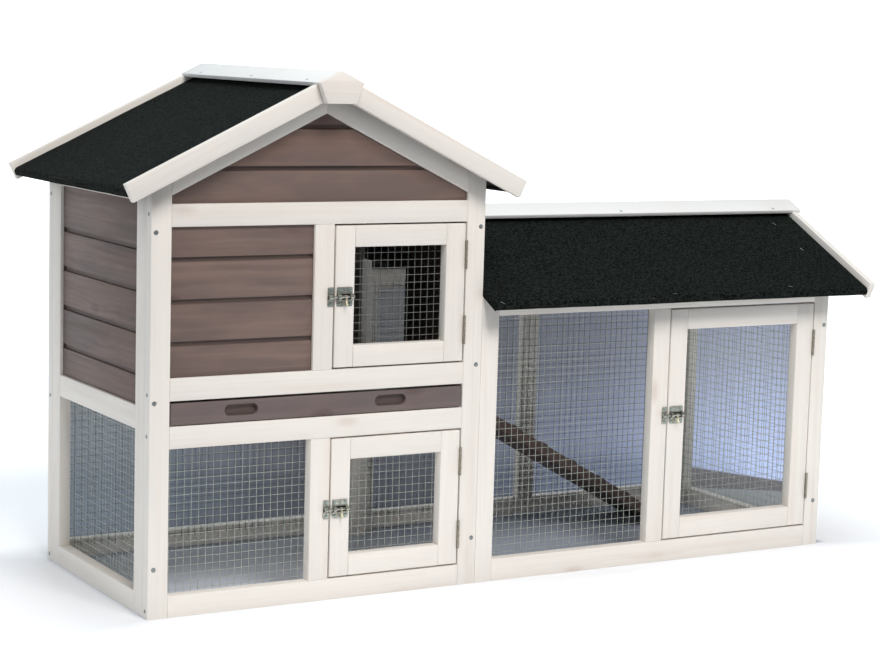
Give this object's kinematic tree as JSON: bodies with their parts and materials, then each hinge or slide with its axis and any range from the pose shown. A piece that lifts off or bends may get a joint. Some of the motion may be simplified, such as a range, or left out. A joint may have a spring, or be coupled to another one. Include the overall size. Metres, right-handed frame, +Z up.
{
  "type": "rabbit hutch",
  "caption": "Two-storey gabled wooden rabbit house with a mesh-sided run beside it, mesh doors, a pull-out tray and a ramp.",
  "frame": {"origin": "centre of the hutch's bounding box, on the surface it stands on", "axes": "+X along the front from the house to the run, +Y from the front to the back, +Z up"},
  "size_m": [1.4858, 0.5498, 0.8656],
  "materials": {
    "whitewashed_wood": "thin white wash over softwood, grain and knots showing",
    "stained_board": "taupe grey-brown stain, matt",
    "plain_board": "bare board",
    "roof_board": "dark-stained board",
    "roofing_felt": "mineral felt, very dark green-black",
    "galvanised_wire": "dull galvanised",
    "zinc_fittings": "zinc plated",
    "galvanised_sheet": "galvanised sheet"
  },
  "bodies": {
    "root": {"house_barge_front_left": "whitewashed_wood", "house_barge_front_right": "whitewashed_wood", "house_barge_rear_left": "whitewashed_wood", "house_barge_rear_right": "whitewashed_wood", "house_felt": "roofing_felt", "house_floor": "plain_board", "house_front_frame": "whitewashed_wood", "house_front_gable": "stained_board", "house_front_mesh": "galvanised_wire", "house_front_siding": "stained_board", "house_left_frame": "whitewashed_wood", "house_left_mesh": "galvanised_wire", "house_left_siding": "stained_board", "house_rear_frame": "whitewashed_wood", "house_rear_gable": "stained_board", "house_rear_mesh": "galvanised_wire", "house_rear_siding": "stained_board", "house_ridge_cap": "whitewashed_wood", "house_right_frame": "whitewashed_wood", "house_right_siding": "stained_board", "house_roof_left": "roof_board", "house_roof_right": "roof_board", "lower_keeper": "zinc_fittings", "ridge_end_block": "whitewashed_wood", "run_barge_end_front": "whitewashed_wood", "run_barge_end_rear": "whitewashed_wood", "run_end_frame": "whitewashed_wood", "run_end_gable": "stained_board", "run_end_mesh": "galvanised_wire", "run_felt": "roofing_felt", "run_front_frame": "whitewashed_wood", "run_front_mesh": "galvanised_wire", "run_keeper": "zinc_fittings", "run_rear_frame": "whitewashed_wood", "run_rear_mesh": "galvanised_wire", "run_ridge_cap": "whitewashed_wood", "run_roof_front": "roof_board", "run_roof_rear": "roof_board", "upper_keeper": "zinc_fittings"},
    "upper_door": {"upper_door_frame": "whitewashed_wood", "upper_door_mesh": "galvanised_wire", "upper_hinge_bottom": "zinc_fittings", "upper_hinge_top": "zinc_fittings", "upper_latch_plate": "zinc_fittings"},
    "upper_bolt": {"upper_bolt": "zinc_fittings"},
    "lower_door": {"lower_door_frame": "whitewashed_wood", "lower_door_mesh": "galvanised_wire", "lower_hinge_bottom": "zinc_fittings", "lower_hinge_top": "zinc_fittings", "lower_latch_plate": "zinc_fittings"},
    "lower_bolt": {"lower_bolt": "zinc_fittings"},
    "run_door": {"run_door_frame": "whitewashed_wood", "run_door_mesh": "galvanised_wire", "run_hinge_bottom": "zinc_fittings", "run_hinge_top": "zinc_fittings", "run_latch_plate": "zinc_fittings"},
    "run_bolt": {"run_bolt": "zinc_fittings"},
    "tray": {"tray_front": "stained_board", "tray_pan": "galvanised_sheet"},
    "ramp": {"ramp": "stained_board"}
  },
  "joints": [
    {"name": "upper_door_swing", "type": "hinge", "parent": "root", "child": "upper_door", "pos_m": [-0.12114, -0.2275, 0.5015], "axis": [0, 0, 1], "range_deg": [0, 110]},
    {"name": "upper_bolt_slide", "type": "slide", "parent": "upper_door", "child": "upper_bolt", "axis": [1, 0, 0], "range_m": [-0.007, 0.005]},
    {"name": "lower_door_swing", "type": "hinge", "parent": "root", "child": "lower_door", "pos_m": [-0.12114, -0.2275, 0.153], "axis": [0, 0, 1], "range_deg": [0, 110]},
    {"name": "lower_bolt_slide", "type": "slide", "parent": "lower_door", "child": "lower_bolt", "axis": [1, 0, 0], "range_m": [-0.007, 0.005]},
    {"name": "run_door_swing", "type": "hinge", "parent": "root", "child": "run_door", "pos_m": [0.63186, -0.2275, 0.2485], "axis": [0, 0, 1], "range_deg": [0, 110]},
    {"name": "run_bolt_slide", "type": "slide", "parent": "run_door", "child": "run_bolt", "axis": [1, 0, 0], "range_m": [-0.007, 0.005]},
    {"name": "tray_pull", "type": "slide", "parent": "root", "child": "tray", "axis": [0, -1, 0], "range_m": [0, 0.4]},
    {"name": "ramp_lift", "type": "hinge", "parent": "root", "child": "ramp", "pos_m": [-0.08314, 0.0921, 0.341], "axis": [0, -1, 0], "range_deg": [0, 40]}
  ]
}
